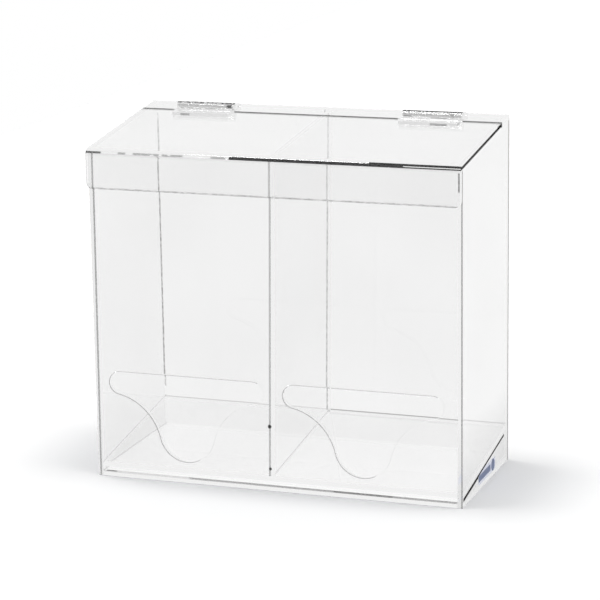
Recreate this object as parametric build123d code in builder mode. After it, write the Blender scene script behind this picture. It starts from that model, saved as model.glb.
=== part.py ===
"""Countertop glove dispenser: a clear acrylic bin with two compartments.

The panels are sawn from one thickness of sheet and solvent cemented edge to face.
Gloves lie in two compartments on a sloped floor and are pulled out through two
funnel-shaped openings in the front panel. The top falls towards the front as one plane:
a fixed rail lies along its back, and the lid, one sheet bent hot over the front, turns
on two moulded hinges on that rail.

Frame: origin at the centre of the base's underside, +X to the right, +Y to the back,
+Z up. Lengths are millimetres, angles are degrees.
"""
import os
from math import atan2, cos, degrees, hypot, radians, sin, tan

from build123d import *

# ---------------------------------------------------------------- driving dimensions
# Box
box_width = 380.0            # over the outer faces of the side panels
box_depth = 170.0            # front face to back face, without the lid's lip
rail_top = 355.5             # base's underside to the hinge rail's upper back edge
sheet = 5.0                  # thickness of every panel, of the rail and of the lid
top_slope = 7.15             # rail and lid fall towards the front by this angle
rail_depth = 28.4            # fixed strip behind the lid, along the slope
floor_front_gap = 4.0        # base to the sloped floor's underside, at the front
floor_rise = 24.3            # how much higher the sloped floor is at the back
divider_lean = 1.0           # the divider's top leans to the right by this angle
divider_turn = 1.25          # its back edge lies to the right of its front edge
divider_middle_z = 190.0     # height at which its middle is on the dispenser's middle

# Lid
lid_seat_gap = 0.25          # closed lid to the tops of the panels
lid_back_gap = 0.5           # lid's back edge to the rail
lip_gap = 1.5                # lip's inner face to the front panel
lip_drop = 34.4              # lip's inner face, from the bend's corner to the lower edge
bend_radius = 2.0            # inside of the hot bend
lip_corner_radius = 6.0      # two lower corners of the lip

# Front openings
opening_bridge = 20.5        # web left between the two openings
opening_side_margin = 11.7   # front panel's edge to the slot's end, on average
opening_shift = -2.0         # both openings sit this far off the middle
opening_top = 109.3          # height of the slot's straight upper edge
opening_sill = 21.4          # height of the lowest point of the funnel
slot_end_radius = 11.5
shoulder_radius = 56.0       # panel's convex shoulder between slot and funnel
funnel_radius = 28.5         # round bottom of the funnel
edge_ease = 0.5              # scraped chamfer round the openings

# Hinges
hinge_inset = 70.0           # side panel's outer face to the middle of a hinge
hinge_length = 61.0
leaf_depth = 21.0            # pin axis to the leaf's free edge
leaf_thickness = 3.0
leaf_corner_radius = 3.0
leaf_edge_ease = 0.6         # moulded chamfer round the leaf's top
knuckle_radius = 4.1
knuckle_count = 5            # the rail's leaf has the odd ones, the lid's leaf the even ones
knuckle_end_gap = 0.3        # between neighbouring knuckles
knuckle_side_gap = 0.4       # knuckle to the other leaf and to the lid under it
pin_radius = 1.5
pin_running_gap = 0.05       # radial, in every knuckle
pin_end_recess = 0.5         # the pin ends inside the last knuckles

# Blank label
label_length = 62.0
label_height = 13.0
label_thickness = 0.15
label_corner_radius = 2.0
label_centre_y = 4.0
label_centre_z = 11.5

# ---------------------------------------------------------------- what follows from them
half_width = box_width / 2
inner_half_width = half_width - sheet
front_face = -box_depth / 2
front_inside = front_face + sheet
back_face = box_depth / 2
back_inside = back_face - sheet

# The pin lies over the lid's back edge. The rail's top is lower than the lid's by the
# gap that keeps the lid off the panels.
lid_seat = knuckle_radius + knuckle_side_gap
rail_seat = lid_seat + lid_seat_gap
panel_seat = rail_seat + sheet
top_slope_angle = radians(top_slope)
rail_reach = lid_back_gap + rail_depth
pin_y = back_face - rail_reach * cos(top_slope_angle) - panel_seat * sin(top_slope_angle)
pin_z = rail_top - rail_reach * sin(top_slope_angle) + rail_seat * cos(top_slope_angle)
top_plane = Plane(
    (0, pin_y, pin_z),
    x_dir=(1, 0, 0),
    z_dir=(0, -sin(top_slope_angle), cos(top_slope_angle)),
)


def height_under_pin(distance, y):
    """Height at y of the line that runs parallel to the lid, this far below the pin."""
    return pin_z - distance / cos(top_slope_angle) + (y - pin_y) * tan(top_slope_angle)


front_top = height_under_pin(panel_seat, front_face)

floor_angle = atan2(floor_rise, back_inside - front_inside)
floor_front_under = sheet + floor_front_gap
floor_front_top = floor_front_under + sheet / cos(floor_angle)
floor_back_under = floor_front_under + floor_rise
floor_back_top = floor_front_top + floor_rise

os.makedirs("parts", exist_ok=True)


def save(piece, name):
    """Label one finished piece and write it as its own STEP file."""
    piece.part.label = name
    export_step(piece.part, f"parts/{name}.step")


# ---------------------------------------------------------------- base panel
with BuildPart() as base_panel:
    with BuildSketch(Plane.XY):
        Rectangle(2 * inner_half_width, box_depth)
    extrude(amount=sheet)

save(base_panel, "base_panel")

# ---------------------------------------------------------------- side panels
# Trapezoids: the upper edge carries the rail and falls with it.
for side, side_name in ((-1, "left"), (1, "right")):
    with BuildPart() as side_panel:
        with BuildSketch(Plane.YZ.offset(side * (half_width - sheet / 2))):
            with BuildLine():
                Polyline(
                    (front_face, 0),
                    (back_face, 0),
                    (back_face, height_under_pin(panel_seat, back_face)),
                    (front_face, front_top),
                    close=True,
                )
            make_face()
        extrude(amount=sheet / 2, both=True)

    save(side_panel, f"{side_name}_side_panel")

# ---------------------------------------------------------------- back panel
with BuildPart() as back_panel:
    with BuildSketch(Plane.YZ):
        with BuildLine():
            Polyline(
                (back_inside, sheet),
                (back_face, sheet),
                (back_face, height_under_pin(panel_seat, back_face)),
                (back_inside, height_under_pin(panel_seat, back_inside)),
                close=True,
            )
        make_face()
    extrude(amount=inner_half_width, both=True)

save(back_panel, "back_panel")

# ---------------------------------------------------------------- front panel
# One half of an opening runs along four tangent pieces: the straight upper edge, the
# slot's round end, the shoulder and the funnel's bottom. The shoulder's centre lies
# where circles round the other two centres meet.
opening_centre_x = (opening_bridge / 2 + inner_half_width - opening_side_margin) / 2
opening_half_width = inner_half_width - opening_side_margin - opening_centre_x
slot_end_centre = Vector(-(opening_half_width - slot_end_radius), opening_top - slot_end_radius)
funnel_centre = Vector(0, opening_sill + funnel_radius)

centre_line = slot_end_centre - funnel_centre
reach_to_funnel = shoulder_radius + funnel_radius
reach_to_slot_end = shoulder_radius + slot_end_radius
along = (centre_line.length**2 + reach_to_funnel**2 - reach_to_slot_end**2) / (2 * centre_line.length)
across = (reach_to_funnel**2 - along**2) ** 0.5
toward_slot_end = centre_line.normalized()
shoulder_centre = (
    funnel_centre + toward_slot_end * along + toward_slot_end.rotate(Axis.Z, 90) * across
)
slot_end_to_shoulder = slot_end_centre + (shoulder_centre - slot_end_centre) * (
    slot_end_radius / reach_to_slot_end
)
shoulder_to_funnel = funnel_centre + (shoulder_centre - funnel_centre) * (
    funnel_radius / reach_to_funnel
)

with BuildPart() as front_panel:
    with BuildSketch(Plane.XZ.offset(-front_inside)):
        with Locations((0, sheet)):
            Rectangle(
                2 * inner_half_width,
                front_top - sheet,
                align=(Align.CENTER, Align.MIN),
            )
        with BuildSketch(mode=Mode.PRIVATE) as opening:
            with BuildLine():
                Line((0, opening_top), (slot_end_centre.X, opening_top))
                slot_end = ThreePointArc(
                    (slot_end_centre.X, opening_top),
                    slot_end_centre - Vector(slot_end_radius, 0),
                    slot_end_to_shoulder,
                )
                shoulder = TangentArc(
                    slot_end_to_shoulder, shoulder_to_funnel, tangent=slot_end % 1
                )
                TangentArc(shoulder_to_funnel, (0, opening_sill), tangent=shoulder % 1)
                mirror(about=Plane.YZ)
            make_face()
        with Locations(
            (opening_shift - opening_centre_x, 0),
            (opening_shift + opening_centre_x, 0),
        ):
            add(opening.sketch, mode=Mode.SUBTRACT)
    extrude(amount=sheet)

    rims = front_panel.edges().filter_by(
        lambda edge: edge.center().Z < opening_top + edge_ease
        and edge.center().Z > sheet + edge_ease
        and abs(edge.center().X) < inner_half_width - edge_ease
        and abs(edge.tangent_at(0.5).Y) < 0.5
    )
    chamfer(rims, edge_ease)

save(front_panel, "front_panel")

# ---------------------------------------------------------------- sloped floor
with BuildPart() as sloped_floor:
    with BuildSketch(Plane.YZ):
        with BuildLine():
            Polyline(
                (front_inside, floor_front_under),
                (back_inside, floor_back_under),
                (back_inside, floor_back_top),
                (front_inside, floor_front_top),
                close=True,
            )
        make_face()
    extrude(amount=inner_half_width, both=True)

save(sloped_floor, "sloped_floor")

# ---------------------------------------------------------------- divider
# A leaning, slightly turned slab, cut to the insides of the front and back panels and to
# the slopes of the floor and of the top.
divider_half_width = sheet / 2 / cos(radians(divider_lean)) / cos(radians(divider_turn))
foot_offset = -divider_middle_z * tan(radians(divider_lean))
top_offset = (rail_top - divider_middle_z) * tan(radians(divider_lean))
divider_run = Vector(tan(radians(divider_turn)), 1, 0).normalized()

with BuildPart() as divider:
    with BuildSketch(Plane.XZ):
        with BuildLine():
            Polyline(
                (foot_offset - divider_half_width, 0),
                (foot_offset + divider_half_width, 0),
                (top_offset + divider_half_width, rail_top),
                (top_offset - divider_half_width, rail_top),
                close=True,
            )
        make_face()
    extrude(amount=back_face, dir=divider_run, both=True)
    with BuildSketch(Plane.YZ):
        with BuildLine():
            Polyline(
                (front_inside, floor_front_top),
                (back_inside, floor_back_top),
                (back_inside, height_under_pin(panel_seat, back_inside)),
                (front_inside, height_under_pin(panel_seat, front_inside)),
                close=True,
            )
        make_face()
    extrude(amount=inner_half_width, both=True, mode=Mode.INTERSECT)

save(divider, "divider")

# ---------------------------------------------------------------- hinge rail
with BuildPart() as hinge_rail:
    with BuildSketch(top_plane.offset(-panel_seat)):
        with Locations((0, lid_back_gap)):
            Rectangle(box_width, rail_depth, align=(Align.CENTER, Align.MIN))
    extrude(amount=sheet)

save(hinge_rail, "hinge_rail")

# ---------------------------------------------------------------- lid
# The profile is drawn along the underside; the lid's back edge is square to its sheet.
lid_underside = lid_seat + sheet
lip_inside = front_face - lip_gap
bend_corner = (lip_inside, height_under_pin(lid_underside, lip_inside))
lid_back = pin_y + lid_underside * sin(top_slope_angle)

with BuildPart() as lid:
    with BuildSketch(Plane.YZ):
        with BuildLine():
            FilletPolyline(
                (lid_back, height_under_pin(lid_underside, lid_back)),
                bend_corner,
                (lip_inside, bend_corner[1] - lip_drop),
                radius=bend_radius,
            )
            offset(amount=sheet, side=Side.RIGHT)
        make_face()
    extrude(amount=half_width, both=True)
    fillet(lid.edges().filter_by(Axis.Y).group_by(Axis.Z)[0], lip_corner_radius)

save(lid, "lid")

# ---------------------------------------------------------------- hinges
# A leaf is drawn in its own plane: origin on the pin, local x along the pin, local y
# towards its free edge, local z away from the sheet that it is cemented to.
knuckle_pitch = hinge_length / knuckle_count
pin_length = hinge_length - 2 * pin_end_recess


def hinge_leaf(plane, seat, knuckle_numbers):
    """One moulded leaf with its share of the knuckles, bored for the pin."""
    with BuildPart() as leaf:
        with BuildSketch(plane.offset(-seat)):
            with Locations((0, leaf_depth)):
                Rectangle(
                    hinge_length - knuckle_end_gap,
                    leaf_depth - knuckle_radius - knuckle_side_gap,
                    align=(Align.CENTER, Align.MAX),
                )
        extrude(amount=leaf_thickness)
        free_edge = leaf.faces().sort_by(Axis(plane.origin, plane.y_dir))[-1]
        fillet(free_edge.edges().filter_by(Axis(plane.origin, plane.z_dir)), leaf_corner_radius)
        top_face = leaf.faces().sort_by(Axis(plane.origin, plane.z_dir))[-1]
        chamfer(top_face.edges(), leaf_edge_ease)
        for number in knuckle_numbers:
            middle = (number - (knuckle_count - 1) / 2) * knuckle_pitch
            length = knuckle_pitch - knuckle_end_gap
            section = Plane(
                plane.from_local_coords(Vector(middle, 0, 0)),
                x_dir=plane.y_dir,
                z_dir=plane.x_dir,
            )
            with BuildSketch(section):
                Circle(knuckle_radius)
                with Locations((0, -seat)):
                    Rectangle(
                        leaf_depth / 2, leaf_thickness - leaf_edge_ease, align=Align.MIN
                    )
                Circle(pin_radius + pin_running_gap, mode=Mode.SUBTRACT)
            extrude(amount=length / 2, both=True)
    return leaf


for side, side_name in ((-1, "left"), (1, "right")):
    hinge_x = side * (half_width - hinge_inset)
    rail_plane = top_plane.shift_origin(top_plane.from_local_coords(Vector(hinge_x, 0, 0)))
    lid_plane = Plane(rail_plane.origin, x_dir=-rail_plane.x_dir, z_dir=rail_plane.z_dir)

    rail_leaf = hinge_leaf(rail_plane, rail_seat, range(0, knuckle_count, 2))
    save(rail_leaf, f"{side_name}_hinge_rail_leaf")

    lid_leaf = hinge_leaf(lid_plane, lid_seat, range(1, knuckle_count, 2))
    save(lid_leaf, f"{side_name}_hinge_lid_leaf")

    with BuildPart() as hinge_pin:
        with BuildSketch(Plane(rail_plane.origin, x_dir=(0, 1, 0), z_dir=(1, 0, 0))):
            Circle(pin_radius)
        extrude(amount=pin_length / 2, both=True)

    save(hinge_pin, f"{side_name}_hinge_pin")

# ---------------------------------------------------------------- blank label
with BuildPart() as side_label:
    with BuildSketch(Plane.YZ.offset(half_width)):
        with Locations((label_centre_y, label_centre_z)):
            RectangleRounded(label_length, label_height, label_corner_radius)
    extrude(amount=label_thickness)

save(side_label, "side_label")
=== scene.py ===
# %% [markdown]
# # A clear acrylic glove dispenser
# The dispenser is a bin of clear sheets, cemented edge to face, with a bent lid on two
# moulded hinges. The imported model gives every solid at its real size, so this lesson is
# about light: what makes clear plastic visible is its edges, its joints and what the
# room shows in it. Everything is in metres, with +Z up and the front towards -Y.

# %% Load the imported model
from math import pi, radians

import bpy
from mathutils import Euler, Matrix, Vector


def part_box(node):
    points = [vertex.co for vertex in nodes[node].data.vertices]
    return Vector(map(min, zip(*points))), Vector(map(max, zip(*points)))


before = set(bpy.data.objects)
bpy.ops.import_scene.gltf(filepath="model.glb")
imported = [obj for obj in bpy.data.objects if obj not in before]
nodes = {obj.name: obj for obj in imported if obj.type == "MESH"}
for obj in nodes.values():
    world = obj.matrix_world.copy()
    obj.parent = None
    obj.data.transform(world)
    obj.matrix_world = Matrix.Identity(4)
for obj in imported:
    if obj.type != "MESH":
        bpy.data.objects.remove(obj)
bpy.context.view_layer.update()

# %% [markdown]
# ## The camera first
# A long lens from a little above the lid and to the right keeps the upright edges
# almost parallel. Blender wants the focal length in millimetres, which follows from the
# one in pixels, the render's width and the sensor's width. The camera could be placed by
# its position alone, but an aim, a distance and three turns are easier to adjust.

# %% Camera
RENDER_SIDE = 600
FOCAL_PIXELS = 2505.0
SENSOR_WIDTH = 36.0
FAR_LIMIT = 60.0
AIM = Vector((-0.0024, 0.0, 0.1739))
DISTANCE = 2.5034
YAW, PITCH, ROLL = 0.3426, 0.2332, -0.0153

camera_data = bpy.data.cameras.new("camera")
camera_data.sensor_width = SENSOR_WIDTH
camera_data.lens = FOCAL_PIXELS / RENDER_SIDE * SENSOR_WIDTH
camera_data.clip_end = FAR_LIMIT
camera = bpy.data.objects.new("camera", camera_data)
bpy.context.scene.collection.objects.link(camera)
turn = Matrix.Rotation(YAW, 3, "Z") @ Matrix.Rotation(pi / 2 - PITCH, 3, "X") @ Matrix.Rotation(ROLL, 3, "Z")
camera.rotation_mode = "QUATERNION"
camera.rotation_quaternion = turn.to_quaternion()
camera.location = AIM + turn @ Vector((0, 0, DISTANCE))
bpy.context.scene.camera = camera
bpy.context.scene.view_settings.view_transform = "Standard"
print("camera at", [round(v, 3) for v in camera.location], "lens", round(camera_data.lens, 1))

# %% [markdown]
# ## Shader maths as Python
# The finishes need masks: values that are 1 inside a narrow strip of a face and 0
# elsewhere. They could be wired up node by node, but an expression is shorter and easier
# to check. So a small class wraps an output socket, and each operator on it adds one
# Math node. The reflected forms let a plain number stand first, as in 1 - mask.


# %% A socket that can be calculated with
class Value:
    """One output socket. Operators on it add Math nodes to its material."""

    def __init__(self, finish, socket):
        self.finish = finish
        self.socket = socket

    def out(self, name):
        """Another output of the same node."""
        return Value(self.finish, self.socket.node.outputs[name])

    def math(self, operation, *terms):
        return self.finish.node("ShaderNodeMath", {"operation": operation}, dict(enumerate(terms)))

    def __add__(self, other):
        return self.math("ADD", self, other)

    __radd__ = __add__

    def __sub__(self, other):
        return self.math("SUBTRACT", self, other)

    def __rsub__(self, other):
        return self.math("SUBTRACT", other, self)

    def __mul__(self, other):
        return self.math("MULTIPLY", self, other)

    __rmul__ = __mul__

    def __gt__(self, other):
        return self.math("GREATER_THAN", self, other)

    def __lt__(self, other):
        return self.math("LESS_THAN", self, other)

    def __or__(self, other):
        return self.math("MAXIMUM", self, other)

    __ror__ = __or__

    def __abs__(self):
        return self.math("ABSOLUTE", self)


print("a socket takes + - * > < and abs, and | joins two masks")

# %% [markdown]
# ## A finish, node by node
# Every other node comes from one method, which sets the node's settings first and then
# its sockets, from a value or from a link. The world is a node tree too, so the same
# class makes the room. Points are taken in each piece's own coordinates, because then
# the pattern stays on the lid when the lid swings open.

# %% A material or a sky
WHITE = (1.0, 1.0, 1.0, 1.0)


class Finish:
    """A material, or the world, with its node tree, empty but for the output."""

    def __init__(self, name, shelf=bpy.data.materials, output="ShaderNodeOutputMaterial"):
        self.holder = shelf.new(name)
        self.holder.use_nodes = True
        self.tree = self.holder.node_tree
        self.tree.nodes.clear()
        self.output = self.tree.nodes.new(output)

    def node(self, kind, settings=None, inputs=None):
        """Add a node: its settings, then values or links for its sockets."""
        made = self.tree.nodes.new(kind)
        for name, value in (settings or {}).items():
            setattr(made, name, value)
        for name, value in (inputs or {}).items():
            if isinstance(value, Value):
                self.tree.links.new(value.socket, made.inputs[name])
            else:
                made.inputs[name].default_value = value
        return Value(self, made.outputs[0])

    def place(self):
        """The point's coordinates on the piece, which move with the piece."""
        spot = self.node("ShaderNodeTexCoord").out("Object")
        split = self.node("ShaderNodeSeparateXYZ", None, {"Vector": spot})
        return spot, split.out("X"), split.out("Y"), split.out("Z")

    def noise(self, spot, scale):
        """Soft blotches between 0 and 1, this many to the metre."""
        settings = {"noise_dimensions": "3D"}
        return self.node("ShaderNodeTexNoise", settings, {"Vector": spot, "Scale": scale, "Detail": 1.0})

    def mix(self, mask, outside, inside):
        """One shader where the mask is 0 and another where it is 1."""
        return self.node("ShaderNodeMixShader", None, {0: mask, 1: outside, 2: inside})

    def clear(self, colour):
        """Light goes straight through, and takes this colour."""
        return self.node("ShaderNodeBsdfTransparent", None, {"Color": colour})

    def glow(self, strength):
        """Plain white light of this strength."""
        return self.node("ShaderNodeEmission", None, {"Color": WHITE, "Strength": strength})

    def surface(self, shader):
        self.tree.links.new(shader.socket, self.output.inputs["Surface"])
        return self.holder


print("materials of the packed model:", len(bpy.data.materials))

# %% [markdown]
# ## Where the sheets are
# Solvent cement welds two faces into one, so light crosses a sound joint as if nothing
# were there. The two solids still have their own faces at that place, and refraction at
# both would show a joint as a bright mirror. The solids could be united into one, but
# they are separate sheets on the real bin too. So each sheet's material lets light
# straight through where it is joined, and the sizes that say where come from the solids.

# %% Sizes read from the frame
base_low, base_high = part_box("base_panel")
front_low, front_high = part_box("front_panel")
back_low, back_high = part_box("back_panel")
pin_low, pin_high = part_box("right_hinge_pin")
leaf_low, leaf_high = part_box("right_hinge_rail_leaf")
lid_leaf_low, lid_leaf_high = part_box("right_hinge_lid_leaf")
rail_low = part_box("hinge_rail")[0]
lid_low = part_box("lid")[0]

SHEET = base_high.z - base_low.z
INSIDE_X = base_high.x
OUTSIDE_X = INSIDE_X + SHEET
FRONT_FACE, FRONT_INSIDE = front_low.y, front_high.y
BACK_INSIDE, BACK_FACE = back_low.y, back_high.y
PIN_Y = (pin_low.y + pin_high.y) / 2
PIN_Z = (pin_low.z + pin_high.z) / 2
TOUCH = 0.00002
print("sheet:", round(SHEET, 4), "inside width:", round(2 * INSIDE_X, 4))
print("pin at y", round(PIN_Y, 4), "z", round(PIN_Z, 4))

# %% [markdown]
# ## The slanting faces
# The lid and the rail fall towards the front, the floor rises towards the back, and the
# divider leans a little. A box around such a piece says nothing about its slant, so the
# largest flat face that looks the right way gives a point and a normal, and the distance
# of any other point from that face is one line of sums.


# %% Distances from the slanting faces
def widest_face(piece, side):
    """The largest flat face that looks this way: its centre and its normal."""
    face = max(nodes[piece].data.polygons, key=lambda face: face.normal.dot(side) * face.area)
    return face.center.copy(), face.normal.copy()


def above(top, x, y, z):
    """Distance of a point from the plane of a face, on the side that the face looks to."""
    spot, normal = top
    return (x - spot.x) * normal.x + (y - spot.y) * normal.y + (z - spot.z) * normal.z


UP, RIGHT = Vector((0, 0, 1)), Vector((1, 0, 0))
LID_TOP = widest_face("lid", UP)
RAIL_TOP = widest_face("hinge_rail", UP)
FLOOR_TOP = widest_face("sloped_floor", UP)
DIVIDER_RIGHT = widest_face("divider", RIGHT)
lid_spot, lid_normal = LID_TOP
floor_normal = FLOOR_TOP[1]
lid_fall = -lid_normal.y / lid_normal.z
floor_rise = -floor_normal.y / floor_normal.z
print("to the metre, lid falls", round(lid_fall, 4), "and floor rises", round(floor_rise, 4))

# %% [markdown]
# ## Inside a sheet, or beside it
# The joints and the lines are all made of a few plain questions: is the point between
# two limits, inside the sloped floor, inside the divider, under the rail? Each question
# is a small function, asked of the same point by one finish after another.

# %% Plain questions about a point
RAIL_UNDERCUT = 0.0006


def between(value, low, high):
    return (value > low) * (value < high)


def in_floor(x, y, z):
    height = above(FLOOR_TOP, x, y, z)
    return (height < 0.0) * (height > -SHEET)


def in_divider(x, y, z):
    side = above(DIVIDER_RIGHT, x, y, z)
    return (side < 0.0) * (side > -SHEET) * (above(FLOOR_TOP, x, y, z) > 0.0)


def under_rail(x, y, z):
    """On the rail's underside, or in it. The slant undercuts the rail's front edge a little."""
    return (above(RAIL_TOP, x, y, z) > -SHEET - TOUCH) * (y > rail_low.y + RAIL_UNDERCUT)


def under_leaf(x, low, high):
    """Inside a hinge leaf's length, on either side of the middle."""
    return (abs(x) > low.x) * (abs(x) < high.x)


print("rail's underside starts at y", round(rail_low.y + RAIL_UNDERCUT, 4))

# %% [markdown]
# ## The joints of the box
# The side panels cover the ends of the front, back, base and floor. The front and back
# panels stand on the base, and hold the ends of the floor and the divider. Each sheet
# asks where its own faces touch a neighbour.


# %% Joints of the five panels
def side_joints(x, y, z):
    ends = (abs(y) > BACK_INSIDE) | (z < SHEET) | in_floor(x, y, z)
    return (abs(x) < INSIDE_X + TOUCH) * ends | under_rail(x, y, z)


def front_joints(x, y, z):
    inside = (y > FRONT_INSIDE - TOUCH) * (in_floor(x, y, z) | in_divider(x, y, z))
    return (abs(x) > INSIDE_X - TOUCH) | (z < SHEET + TOUCH) | inside


def back_joints(x, y, z):
    inside = (y < BACK_INSIDE + TOUCH) * (in_floor(x, y, z) | in_divider(x, y, z))
    ends = (abs(x) > INSIDE_X - TOUCH) | (z < SHEET + TOUCH)
    return ends | inside | under_rail(x, y, z)


def base_joints(x, y, z):
    return (abs(x) > INSIDE_X - TOUCH) | (z > SHEET - TOUCH) * (abs(y) > BACK_INSIDE)


print("front and back stand", round(BACK_INSIDE - FRONT_INSIDE, 4), "apart, at z", round(SHEET, 4))

# %% [markdown]
# ## The joints inside the box
# The sloped floor is held all round and carries the divider, which is held by the floor,
# the front, the back and the rail.


# %% Joints of the sloped floor and the divider
def floor_joints(x, y, z):
    top = above(FLOOR_TOP, x, y, z) > -TOUCH
    side = above(DIVIDER_RIGHT, x, y, z)
    under_divider = top * (side < 0.0) * (side > -SHEET)
    return (abs(x) > INSIDE_X - TOUCH) | (abs(y) > BACK_INSIDE - TOUCH) | under_divider


def divider_joints(x, y, z):
    foot = above(FLOOR_TOP, x, y, z) < TOUCH
    return (abs(y) > BACK_INSIDE - TOUCH) | foot | under_rail(x, y, z)


print("middle of the floor at z", round(FLOOR_TOP[0].z, 4), "divider at x", round(DIVIDER_RIGHT[0].x, 4))

# %% [markdown]
# ## The joints on top
# The rail sits on the side panels, the back and the divider. Each hinge has one leaf
# cemented to the rail and one to the lid, and between them the knuckles stay free. The
# lid touches nothing else, so its only joints are under its two leaves.

# %% Joints of the rail, the lid and the hinges
KNUCKLE_GAP = 0.0004
KNUCKLE_ROOM = PIN_Y - leaf_low.y + KNUCKLE_GAP


def rail_joints(x, y, z):
    height = above(RAIL_TOP, x, y, z)
    seats = (abs(x) > INSIDE_X) | (y > BACK_INSIDE) | in_divider(x, y, z)
    leaf = (y > PIN_Y + KNUCKLE_ROOM) * (y < leaf_high.y) * under_leaf(x, leaf_low, leaf_high)
    return (height < TOUCH - SHEET) * seats | (height > -TOUCH) * leaf


def lid_joints(x, y, z):
    leaf = (y < PIN_Y - KNUCKLE_ROOM) * (y > lid_leaf_low.y) * under_leaf(x, lid_leaf_low, lid_leaf_high)
    return (above(LID_TOP, x, y, z) > -TOUCH) * leaf


def rail_leaf_joints(x, y, z):
    return above(RAIL_TOP, x, y, z) < TOUCH


def lid_leaf_joints(x, y, z):
    return above(LID_TOP, x, y, z) < TOUCH


print("knuckles keep", round(KNUCKLE_ROOM, 4), "free on each side of the pin")

# %% [markdown]
# ## What shows in a clear bin
# A sheet is seen by its lines. Cement that did not quite fill a joint, or that was
# squeezed out beside it, lets less light through. The dark that edges and bends show,
# where they turn the view of the room away, is painted shade.
# Thin solids could be laid along the joints, but cement has no thickness worth the name.
# So each line is a narrow strip of a face, given by a mask, with the share of light that
# it lets through. Blotches break up a line where the cement is full of bubbles.

# %% Beads, bubbles and broken lines
BEAD = 0.0013


def beside_divider(x, y, z, near, far):
    """The strip where cement was squeezed out on the divider's left, from near to far."""
    side = above(DIVIDER_RIGHT, x, y, z)
    return between(side, -SHEET - far, -SHEET - near) * (above(FLOOR_TOP, x, y, z) > 0.0)


def bubble(x, z, across, up, radius):
    """A round drop of cement on an upright face."""
    aside, height = x - across, z - up
    return aside * aside + height * height < radius**2


def broken(blotch, least, limit=0.5):
    """A line's darkness: whole in the blotches over the limit, and this part elsewhere."""
    return least + (1.0 - least) * (blotch > limit)


print("a bead of cement is", BEAD, "wide")

# %% [markdown]
# ## Lines of the front panel and the base
# The seam under the front panel has dry stretches, which show dark, most of all under
# the right opening. Two drops of cement sit on the divider's front edge. The openings
# were cut out and polished; a fine grey rim round each, and a faint dark on two flanks of
# the funnels, are painted shade. The front edge of the left side panel shows as a line of
# painted shade that leans a little.

# %% Marks of the front panel and the base
LINE_FOOT, LINE_LEAN, LINE_WAVER, LINE_HALF = -0.1876, 0.0074, 0.0006, 0.0009
RIM_DEPTH = 0.0012
OPENINGS_REACH = 0.181
OPENINGS_FOOT, OPENINGS_SHOULDER, OPENINGS_TOP = 0.012, 0.108, 0.115
LEFT_FUNNEL_FLANK = (-0.080, -0.004)
RIGHT_FUNNEL_FLANK = (0.103, 0.181)
SEAM_RISE, SEAM_SINK = 0.0012, 0.0009
DRY_FROM, DRIEST, DRIEST_MORE = -0.092, (0.060, 0.120), 0.25
DRY_LEFT_END = (-0.181, -0.170)
FRONT_BEAD = (-0.0009, 0.0011)
HIGH_DROP = (-0.0068, 0.0648, 0.0019)
LOW_DROP = (-0.0068, 0.0215, 0.0015)
# The rim, the flanks and the left edge line are painted shade.
RIM_LIGHT, FLANK_LIGHT, PAINTED_EDGE_LIGHT = 0.55, 0.97, 0.46
SEAM_LIGHT, SEAM_END_LIGHT, BASE_SEAM_LIGHT = 0.28, 0.30, 0.30
FRONT_BEAD_LIGHT, DROP_LIGHT = 0.54, 0.02


def left_line(x, z, blotch):
    """Painted shade along the front edge of the left side panel, which leans and wavers."""
    middle = LINE_FOOT + LINE_LEAN * z + LINE_WAVER * (blotch - 0.5)
    return between(x - middle, -LINE_HALF, LINE_HALF)


def dry_seam(x, least, right_more):
    """How dark the seam under the front panel is, along its length."""
    return least + right_more * (x > DRY_FROM) + DRIEST_MORE * between(x, *DRIEST)


def front_marks(x, y, z, blotch):
    rim = between(y, FRONT_FACE + TOUCH, FRONT_FACE + RIM_DEPTH) * between(z, OPENINGS_FOOT, OPENINGS_TOP)
    wall = between(y, FRONT_FACE + TOUCH, FRONT_INSIDE - TOUCH) * between(z, OPENINGS_FOOT, OPENINGS_SHOULDER)
    cut_out = abs(x) < OPENINGS_REACH
    flanks = between(x, *LEFT_FUNNEL_FLANK) | between(x, *RIGHT_FUNNEL_FLANK)
    face = y < FRONT_FACE + TOUCH
    foot = z < SHEET + SEAM_RISE
    inner = y > FRONT_INSIDE - TOUCH
    return [
        (rim * cut_out, RIM_LIGHT),
        (wall * cut_out * flanks, FLANK_LIGHT),
        (face * left_line(x, z, blotch), PAINTED_EDGE_LIGHT),
        (face * foot * dry_seam(x, 0.30, 0.45), SEAM_LIGHT),
        (face * foot * between(x, *DRY_LEFT_END), SEAM_END_LIGHT),
        (inner * beside_divider(x, y, z, *FRONT_BEAD), FRONT_BEAD_LIGHT),
        (inner * (bubble(x, z, *HIGH_DROP) | bubble(x, z, *LOW_DROP)), DROP_LIGHT),
    ]


def base_marks(x, y, z, blotch):
    face = (y < FRONT_FACE + TOUCH) * (z > SHEET - SEAM_SINK)
    return [(face * dry_seam(x, 0.25, 0.40), BASE_SEAM_LIGHT)]


print("seam under the front panel is", round(SEAM_RISE + SEAM_SINK, 4), "high")

# %% [markdown]
# ## Lines of the side panels
# The right side panel shows the dark line of the sloped floor's dry joint, and painted
# shade along its two upright edges. The left one is seen through the bin: its joints with
# the back, the floor and the base are soft grey lines, and its front edge is the leaning
# line of painted shade.

# %% Marks of the side panels
FRONT_ARRIS_DEPTH, FRONT_ARRIS_WIDTH, BACK_ARRIS_DEPTH = 0.0010, 0.0011, 0.0035
ARRIS_LIGHT = 0.42
FLOOR_LINE, FLOOR_LINE_MORE, MORE_UNTIL = 0.0024, 0.0012, -0.028
FLOOR_LINE_REACH = (-0.0815, 0.069)
FLOOR_LINE_LIGHT = 0.05
CORNER_HEIGHTS = (0.06, 0.33)
CORNER_LIGHT, LEFT_BEAD_LIGHT = 0.50, 0.75


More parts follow.
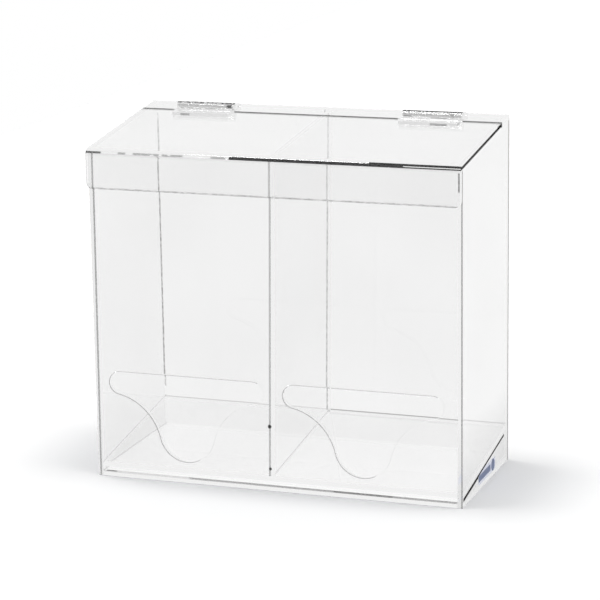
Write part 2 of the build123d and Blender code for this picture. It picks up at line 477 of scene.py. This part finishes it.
def right_side_marks(x, y, z, blotch):
    outer = x > OUTSIDE_X - TOUCH
    # The lines at the two upright arrises are painted shade.
    front_arris = (y < FRONT_FACE + FRONT_ARRIS_DEPTH) * (x > OUTSIDE_X - FRONT_ARRIS_WIDTH)
    back_arris = outer * (y > BACK_FACE - BACK_ARRIS_DEPTH)
    height = above(FLOOR_TOP, x, y, z)
    line = (height < -SHEET) * (height + FLOOR_LINE_MORE * (y < MORE_UNTIL) > -SHEET - FLOOR_LINE)
    return [
        (front_arris | back_arris, ARRIS_LIGHT),
        (outer * line * between(y, *FLOOR_LINE_REACH), FLOOR_LINE_LIGHT),
    ]


def left_side_marks(x, y, z, blotch):
    inner = x > -INSIDE_X - TOUCH
    face = y < FRONT_FACE + TOUCH
    corner = (y > BACK_INSIDE) * between(z, *CORNER_HEIGHTS)
    beads = between(above(FLOOR_TOP, x, y, z), 0.0, BEAD) | between(z, SHEET, SHEET + BEAD)
    return [
        (face * left_line(x, z, blotch), PAINTED_EDGE_LIGHT),
        (inner * corner * broken(blotch, 0.5), CORNER_LIGHT),
        (inner * beads, LEFT_BEAD_LIGHT),
    ]


print("floor line on the right is", round(FLOOR_LINE_REACH[1] - FLOOR_LINE_REACH[0], 4), "long")

# %% [markdown]
# ## Lines of the back panel and the floor
# On the back panel's inner face a bead of cement runs along the floor, and one up the
# divider, with a drop at its foot. A faint second line below the floor is where its
# lower edge was cemented. The divider leaves a bead on the floor as well.

# %% Marks of the back panel and the sloped floor
LOWER_BEAD = (-0.0075, -0.0055)
REAR_BEAD = (0.0022, 0.0038)
REAR_DROP = (-0.0043, 0.0366, 0.0015)
REAR_CORNER, REAR_CORNER_HEIGHTS = 0.0017, (0.05, 0.34)
FLOOR_BEAD_LIGHT, LOWER_BEAD_LIGHT, REAR_BEAD_LIGHT = 0.50, 0.85, 0.32
REAR_DROP_LIGHT, REAR_CORNER_LIGHT, DIVIDER_FOOT_LIGHT = 0.05, 0.62, 0.70


def back_marks(x, y, z, blotch):
    inner = y < BACK_INSIDE + TOUCH
    right = x > 0.0
    height = above(FLOOR_TOP, x, y, z)
    corner = (x < REAR_CORNER - INSIDE_X) * between(z, *REAR_CORNER_HEIGHTS)
    return [
        (inner * between(height, 0.0, BEAD) * (0.55 + 0.45 * right), FLOOR_BEAD_LIGHT),
        (inner * between(height, *LOWER_BEAD) * right, LOWER_BEAD_LIGHT),
        (inner * beside_divider(x, y, z, *REAR_BEAD) * broken(blotch, 0.6), REAR_BEAD_LIGHT),
        (inner * bubble(x, z, *REAR_DROP), REAR_DROP_LIGHT),
        (inner * corner * broken(blotch, 0.5), REAR_CORNER_LIGHT),
    ]


def floor_marks(x, y, z, blotch):
    top = above(FLOOR_TOP, x, y, z) > -TOUCH
    side = above(DIVIDER_RIGHT, x, y, z)
    return [(top * between(side, -SHEET - BEAD, -SHEET), DIVIDER_FOOT_LIGHT)]


print("drops on the divider's edges at z", HIGH_DROP[1], LOW_DROP[1], REAR_DROP[1])

# %% [markdown]
# ## Along the slope of the top
# The lid and the rail share one slope, and the hinges' pins lie along its middle gap. So
# their edges are easiest to find by the distance behind the pin, measured along the
# slope. The back edge of the lid lies partly under the hinges, and is asked for apart
# there, because a dark line seen through a clear leaf would look like a black slot.

# %% Distances along the top
BEND_TOP = lid_spot.z - (lid_spot.y - lid_low.y) * lid_fall
RAIL_START = 0.0005
HINGE_SHOWS = 0.006


def along_slope(x, y, z):
    """Distance behind the pin, measured along the lid."""
    return (y - PIN_Y) * lid_normal.z - (z - PIN_Z) * lid_normal.y


def below(value, top, depths):
    """Between two depths under a height, or inwards of an end."""
    return between(value, top - depths[1], top - depths[0])


def beside_hinges(x):
    """Where the back edge is seen through a hinge leaf, from the right of the bin."""
    left = between(x, -leaf_high.x - HINGE_SHOWS, -leaf_low.x)
    return left | between(x, leaf_low.x - HINGE_SHOWS, leaf_high.x)


RAIL_END = 2 * along_slope(*RAIL_TOP[0]) - RAIL_START
print("bend's top at z", round(BEND_TOP, 4), "rail is", round(RAIL_END - RAIL_START, 4), "wide")

# %% [markdown]
# ## Lines of the lid
# The lid is one sheet, bent over a hot wire at the front. The outside of the bend turns
# the view of the room away, and its dark is painted shade: black from the middle to the
# right, breaking into dashes on the left. The lid's cut right end is painted black too, and
# its front lip's right end and lower edge are faint painted lines. Its back edge is a grey
# line of painted shade, fainter where it is seen through a hinge leaf.

# %% Marks of the lid
END_LINE, END_LIGHT = (-0.0040, -0.0010), 0.06
BACK_EDGE_FROM = -0.001
PINCHED_LEFT, PINCHED_RIGHT = (-0.146, -0.136), (0.119, 0.136)
EDGE_LIGHT, HINGED_LIGHT, PINCHED_LIGHT = 0.30, 0.85, 0.45
BEND_FROM, BEND_RAGGED = -0.040, 0.008
BEND_DEPTH, BEND_DEEPER, DEEPER_FROM = 0.0024, 0.0013, 0.100
BEND_HEIGHT, BEND_LIGHT = 0.0036, 0.07
SLIT_FROM, SLIT_BELOW = 0.134, (0.0018, 0.0025)
DASH_DEPTH, DASH_BELOW = 0.0030, (0.0016, 0.0035)
DASH_CORNER, DASH_CORNER_LIGHT, DASH_LIGHT = -0.174, 0.20, 0.52
FIRST_DASH, RAGGED_DASH, LAST_DASH = (-0.156, -0.148), (-0.140, -0.088), (-0.059, -0.044)
LIP_END, LIP_END_HEIGHT, LIP_END_LIGHT = (0.0008, 0.0022), 0.024, 0.30
LIP_FOOT, LIP_FOOT_LIGHT = 0.0012, 0.72


def lid_marks(x, y, z, blotch):
    right_end = (x > OUTSIDE_X - TOUCH) * between(above(LID_TOP, x, y, z), *END_LINE)
    back_edge = along_slope(x, y, z) > BACK_EDGE_FROM
    hinged = beside_hinges(x)
    pinched = between(x, *PINCHED_LEFT) | between(x, *PINCHED_RIGHT)
    ragged = x + BEND_RAGGED * (blotch - 0.5) > BEND_FROM
    slit = (x > SLIT_FROM) * below(z, BEND_TOP, SLIT_BELOW)
    bend_shade = (y < lid_low.y + BEND_DEPTH + BEND_DEEPER * (x > DEEPER_FROM)) * (z > BEND_TOP - BEND_HEIGHT)
    # The dashes along the bend's left are painted shade as well.
    bead = (y < lid_low.y + DASH_DEPTH) * below(z, BEND_TOP, DASH_BELOW)
    dashes = between(x, *FIRST_DASH) | between(x, *RAGGED_DASH) * (blotch > 0.42) | between(x, *LAST_DASH)
    lip_end = (y < lid_low.y + TOUCH) * below(x, OUTSIDE_X, LIP_END) * (z > BEND_TOP - LIP_END_HEIGHT)
    return [
        (back_edge * (1.0 - hinged), EDGE_LIGHT),
        (back_edge * hinged, HINGED_LIGHT),
        (back_edge * pinched, PINCHED_LIGHT),
        (right_end, END_LIGHT),
        (bend_shade * ragged * (1.0 - slit), BEND_LIGHT),
        (bead * (x < DASH_CORNER), DASH_CORNER_LIGHT),
        (bead * dashes, DASH_LIGHT),
        (lip_end, LIP_END_LIGHT),
        ((z < lid_low.z + LIP_FOOT) * broken(blotch, 0.3), LIP_FOOT_LIGHT),
    ]


print("bend is black for", round(OUTSIDE_X - BEND_FROM, 4), "of its length")

# %% [markdown]
# ## Lines of the rail
# The rail is a flat strip, so only its two long edges show, as lines of painted shade:
# the front one, beside the lid, and the rear one over the back panel. Later entries in such
# a list lie over the earlier ones, which matters where two strips cross.

# %% Marks of the rail
RAIL_EDGE, RAIL_EDGE_LIGHT = 0.0014, 0.35
RAIL_REAR, RAIL_REAR_LIGHT = 0.0012, 0.72


def rail_marks(x, y, z, blotch):
    along = along_slope(x, y, z)
    top = above(RAIL_TOP, x, y, z) > -TOUCH
    return [
        ((along < RAIL_EDGE) * (1.0 - beside_hinges(x)), RAIL_EDGE_LIGHT),
        (top * (along > RAIL_END - RAIL_REAR), RAIL_REAR_LIGHT),
    ]


print("rail's rear line starts", round(RAIL_END - RAIL_REAR, 4), "behind the pin")

# %% [markdown]
# ## Lines of the hinges
# A moulded hinge is clear as well, and its round barrel shows a broken dark line of
# painted shade along the top, where each knuckle bends the view of the room the most. The
# two hinges catch different parts of the room, so each has its own short lines of painted
# shade on the barrel's front.

# %% Marks of the hinges
LEFT_TOP, LEFT_TOP_LIGHT, LEFT_TOP_LIMIT = 0.0028, 0.45, 0.48
KNUCKLE_END, KNUCKLE_END_LIGHT = (-0.0967, -0.0920), 0.55
KNUCKLE_END_BELOW, KNUCKLE_END_BEHIND = 0.001, 0.002
BARREL_FRONT = 0.0042
LEFT_FRONT_BELOW, LEFT_FRONT_LIGHT = (0.0015, 0.0030), 0.55
RIGHT_TOP, RIGHT_TOP_LIGHT = 0.0034, 0.12
FIRST_LINE, FIRST_LINE_BELOW, FIRST_LINE_LIGHT = (0.0910, 0.0990), (0.0006, 0.0018), 0.50
SECOND_LINE, SECOND_LINE_BELOW, SECOND_LINE_LIGHT = (0.1190, 0.1356), (0.0016, 0.0028), 0.45
LAST_KNUCKLE, LAST_KNUCKLE_LIGHT = (0.1370, 0.1430), 0.75


def left_hinge_marks(x, y, z, blotch):
    front = between(y, PIN_Y - BARREL_FRONT, PIN_Y)
    high_front = (z > PIN_Z - KNUCKLE_END_BELOW) * (y < PIN_Y + KNUCKLE_END_BEHIND)
    return [
        ((z > PIN_Z + LEFT_TOP) * broken(blotch, 0.45, LEFT_TOP_LIMIT), LEFT_TOP_LIGHT),
        (between(x, *KNUCKLE_END) * high_front, KNUCKLE_END_LIGHT),
        (front * below(z, PIN_Z, LEFT_FRONT_BELOW) * (blotch > 0.5), LEFT_FRONT_LIGHT),
    ]


def right_hinge_marks(x, y, z, blotch):
    front = between(y, PIN_Y - BARREL_FRONT, PIN_Y)
    return [
        (z > PIN_Z + RIGHT_TOP, RIGHT_TOP_LIGHT),
        (front * between(x, *FIRST_LINE) * below(z, PIN_Z, FIRST_LINE_BELOW), FIRST_LINE_LIGHT),
        (front * between(x, *SECOND_LINE) * below(z, PIN_Z, SECOND_LINE_BELOW), SECOND_LINE_LIGHT),
        (front * between(x, *LAST_KNUCKLE) * (blotch > 0.5), LAST_KNUCKLE_LIGHT),
    ]


print("barrel is", round(2 * (leaf_high.z - PIN_Z), 4), "thick")

# %% [markdown]
# ## Clear acrylic
# The Principled shader with full transmission and the refractive index of acrylic, 1.49,
# gives the sheet, and a little noise in its colour stands for the slight cloudiness of a
# handled bin. The foot of each side panel is painted greyer: painted shade, for the shaded
# table that shows in it. Rays from lamps are let through with a loss at each face, because
# light that has to find its way through ten clear faces by chance would only make noise. A
# ray that has been mirrored often inside a sheet ends in the mean light of the room.

# %% Acrylic
ACRYLIC_IOR = 1.49
CLOUDS, CLOUD_SCALE = 0.05, 9.0
BLOTCH_SCALE = 260.0
FOOT_SHADE = {"right_side_panel": 0.29, "left_side_panel": 0.06}
FOOT_LOW, FOOT_HIGH = 0.005, 0.080
LAMP_LOSS = (0.73, 0.74, 0.76, 1.0)
MIRRORED_ONCE, MIRRORED_OFTEN, DEEP = 0.5, 3.5, 10.5
ROOM_MEAN = 0.88


def acrylic_colour(finish, piece, spot, z, clearness_and_shade):
    """The sheet's colour: its tint, clouded a little, with painted shade at a side panel's foot."""
    colour = clearness_and_shade + CLOUDS * (finish.noise(spot, CLOUD_SCALE) - 0.5)
    if piece in FOOT_SHADE:
        foot = {"Value": z, "From Min": FOOT_LOW, "From Max": FOOT_HIGH, "To Min": 1.0, "To Max": 0.0}
        colour = colour - FOOT_SHADE[piece] * finish.node("ShaderNodeMapRange", None, foot)
    return colour


def acrylic(piece, joints, marks, clearness_and_shade):
    """Clear acrylic for one piece, welded where its joints are."""
    finish = Finish(piece + "_acrylic")
    spot, x, y, z = finish.place()
    rays = finish.node("ShaderNodeLightPath")
    sockets = {
        "Base Color": acrylic_colour(finish, piece, spot, z, clearness_and_shade),
        "Roughness": 0.0,
        "IOR": ACRYLIC_IOR,
        "Transmission Weight": 1.0,
    }
    glass = finish.node("ShaderNodeBsdfPrincipled", None, sockets)
    shader = glass
    if joints:
        shader = finish.mix(joints(x, y, z), shader, finish.clear(WHITE))
    if marks:
        straight = rays.out("Glossy Depth") < MIRRORED_ONCE
        for mask, let_through in marks(x, y, z, finish.noise(spot, BLOTCH_SCALE)):
            shader = finish.mix(mask * straight, shader, finish.clear((let_through,) * 3 + (1.0,)))
    lost = (rays.out("Glossy Depth") > MIRRORED_OFTEN) | (rays.out("Ray Depth") > DEEP)
    shader = finish.mix(lost, shader, finish.glow(ROOM_MEAN))
    lamp_ray = rays.out("Is Shadow Ray") | rays.out("Is Diffuse Ray")
    shader = finish.mix(lamp_ray, shader, finish.clear(LAMP_LOSS))
    entering = 1.0 - finish.node("ShaderNodeNewGeometry").out("Backfacing")
    gloss = finish.node("ShaderNodeFresnel", None, {"IOR": ACRYLIC_IOR})
    thrown_back = rays.out("Is Shadow Ray") * entering * gloss
    return finish.surface(finish.mix(thrown_back, shader, glass))


print("acrylic: index", ACRYLIC_IOR, "lamp light left after one sheet:", round(LAMP_LOSS[1] ** 2, 2))

# %% [markdown]
# ## A finish for every clear piece
# All pieces are the same plastic, but each has its own joints and lines, so each gets
# its own material. The tint differs too: the back and left panels are darker, as painted
# shade of the rest of the bin that they are seen through, and the hinges are moulded, not cast.

# %% Give every clear piece its finish
CLEAR_PIECES = {
    "base_panel": (base_joints, base_marks, 0.975),
    "left_side_panel": (side_joints, left_side_marks, 0.87),
    "right_side_panel": (side_joints, right_side_marks, 0.965),
    "front_panel": (front_joints, front_marks, 0.975),
    "back_panel": (back_joints, back_marks, 0.875),
    "sloped_floor": (floor_joints, floor_marks, 0.975),
    "divider": (divider_joints, None, 0.975),
    "hinge_rail": (rail_joints, rail_marks, 0.95),
    "lid": (lid_joints, lid_marks, 0.955),
    "left_hinge_rail_leaf": (rail_leaf_joints, left_hinge_marks, 0.84),
    "right_hinge_rail_leaf": (rail_leaf_joints, right_hinge_marks, 0.82),
    "left_hinge_lid_leaf": (lid_leaf_joints, left_hinge_marks, 0.84),
    "right_hinge_lid_leaf": (lid_leaf_joints, right_hinge_marks, 0.82),
    "left_hinge_pin": (None, None, 0.90),
    "right_hinge_pin": (None, None, 0.90),
}
for piece, (joints, marks, clearness_and_shade) in CLEAR_PIECES.items():
    data = nodes[piece].data
    data.materials.clear()
    data.materials.append(acrylic(piece, joints, marks, clearness_and_shade))
print("clear pieces:", len(CLEAR_PIECES))

# %% [markdown]
# ## The blank label
# Such a bin carries a small clear sticker low on its right side, where a maker prints a
# mark. A plain stripe and a plain dot of dark blue ink stand in its place. An image could
# carry them, but two masks on the clear film keep the edges sharp at any size. The ink
# shows only to straight rays, so that the panel's thick edge doesn't fill with blue.

# %% Label
STRIPE_LENGTH, STRIPE_HALF = 0.044, 0.0033
DOT_INSET, DOT_RADIUS = 0.0085, 0.0062
INK = {"Base Color": (0.03, 0.08, 0.26, 1.0), "Roughness": 0.35}
FILM = (0.93, 0.94, 0.98, 1.0)

label_low, label_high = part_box("side_label")
label_middle = (label_low.z + label_high.z) / 2
label = Finish("label_vinyl")
_, _, along, up = label.place()
stripe = (along < label_low.y + STRIPE_LENGTH) * (abs(up - label_middle) < STRIPE_HALF)
dot = bubble(along, up, label_high.y - DOT_INSET, label_middle, DOT_RADIUS)
straight = label.node("ShaderNodeLightPath").out("Glossy Depth") < MIRRORED_ONCE
ink = label.node("ShaderNodeBsdfPrincipled", None, INK)
nodes["side_label"].data.materials.clear()
nodes["side_label"].data.materials.append(
    label.surface(label.mix((stripe | dot) * straight, label.clear(FILM), ink))
)
print("label:", round(label_high.y - label_low.y, 4), "by", round(label_high.z - label_low.z, 4))

# %% [markdown]
# ## The table
# The bin stands on plain white paper. A mirror image or a view through glass shows the
# paper as evenly white, because a clear bin would look dirty if every sheet showed the
# shadow once more. Seen directly, the paper is lifted a little towards white and keeps
# the bin's soft shadow. The ray's kind decides this in the paper's own material, so no
# lamp has to be made stronger for the sake of the background.

# %% Paper
PAPER_WIDTH, PAPER_FRONT, PAPER_BACK = 2.4, -3.0, 7.0
PAPER_DROP = 0.0003
PAPER_WHITE = (0.92, 0.92, 0.92, 1.0)
LIFT, PLAIN_LEVEL = 0.12, 1.02

paper = Finish("studio_floor")
rays = paper.node("ShaderNodeLightPath")
matt = paper.node("ShaderNodeBsdfDiffuse", None, {"Color": PAPER_WHITE})
lifted = paper.node("ShaderNodeAddShader", None, {0: matt, 1: paper.glow(LIFT)})
shader = paper.mix(rays.out("Is Camera Ray"), matt, lifted)
through_glass = rays.out("Is Glossy Ray") | rays.out("Is Transmission Ray")
shader = paper.mix(through_glass, shader, paper.glow(PLAIN_LEVEL))

half = PAPER_WIDTH / 2
corners = [(-half, PAPER_FRONT, 0), (half, PAPER_FRONT, 0), (half, PAPER_BACK, 0), (-half, PAPER_BACK, 0)]
paper_mesh = bpy.data.meshes.new("studio_floor")
paper_mesh.from_pydata(corners, [], [(0, 1, 2, 3)])
paper_mesh.materials.append(paper.surface(shader))
sheet_of_paper = bpy.data.objects.new("studio_floor", paper_mesh)
sheet_of_paper.location.z = -PAPER_DROP
bpy.context.scene.collection.objects.link(sheet_of_paper)
print("paper:", PAPER_WIDTH, "by", PAPER_BACK - PAPER_FRONT)

# %% [markdown]
# ## The room
# The world is white to the camera, and white too through glass and in its mirror images,
# apart from the part of the room in front of the bin. That part is dimmer, as it is in
# a studio behind the camera, and gives the sheets a faint grey sheen. On matt surfaces
# the world gives only a plain fill of less than half its brightness.

# %% World
SKY_LEVEL = 0.45
ROOM_DIM = 0.38
ROOM_FROM, ROOM_TO = -0.45, 0.05

sky = Finish("studio", bpy.data.worlds, "ShaderNodeOutputWorld")
bpy.context.scene.world = sky.holder
way = sky.node("ShaderNodeTexCoord").out("Generated")
split = sky.node("ShaderNodeSeparateXYZ", None, {"Vector": way})
back, up = split.out("Y"), split.out("Z")
fade = {"Value": back, "From Min": ROOM_FROM, "From Max": ROOM_TO, "To Min": ROOM_DIM, "To Max": 1.0}
room = sky.node("ShaderNodeMapRange", {"interpolation_type": "SMOOTHSTEP"}, fade) | (up < 0.0)
rays = sky.node("ShaderNodeLightPath")
seen_directly = rays.out("Is Camera Ray")
seen_by_glass = rays.out("Is Glossy Ray") | rays.out("Is Transmission Ray")
fill = SKY_LEVEL * (1.0 - (seen_directly | seen_by_glass))
strength = fill + seen_by_glass * room + seen_directly
strength = sky.node("ShaderNodeMath", {"operation": "MINIMUM"}, {0: strength, 1: 1.0})
sky.surface(sky.node("ShaderNodeBackground", None, {"Color": WHITE, "Strength": strength}))
print("world fill:", SKY_LEVEL, "room in front:", ROOM_DIM)

# %% [markdown]
# ## The lamps
# Two soft suns, one from each side, throw the bin's shadow to the left and to the right
# of it, and their wide angle blurs it. Suns light the bin the same wherever it stands,
# which area lamps close to it would not.

# %% Lamps
LAMP_TILT, LAMP_LEAN, LAMP_SOFTNESS = radians(0.5), radians(13.5), radians(17)
LAMPS = {"key_from_right": (LAMP_LEAN, 0.85), "key_from_left": (-LAMP_LEAN, 1.10)}
for name, (lean, energy) in LAMPS.items():
    sun_data = bpy.data.lights.new(name, "SUN")
    sun_data.energy = energy
    sun_data.angle = LAMP_SOFTNESS
    sun = bpy.data.objects.new(name, sun_data)
    sun.rotation_euler = Euler((LAMP_TILT, lean, 0))
    bpy.context.scene.collection.objects.link(sun)
print("lamps:", list(LAMPS))
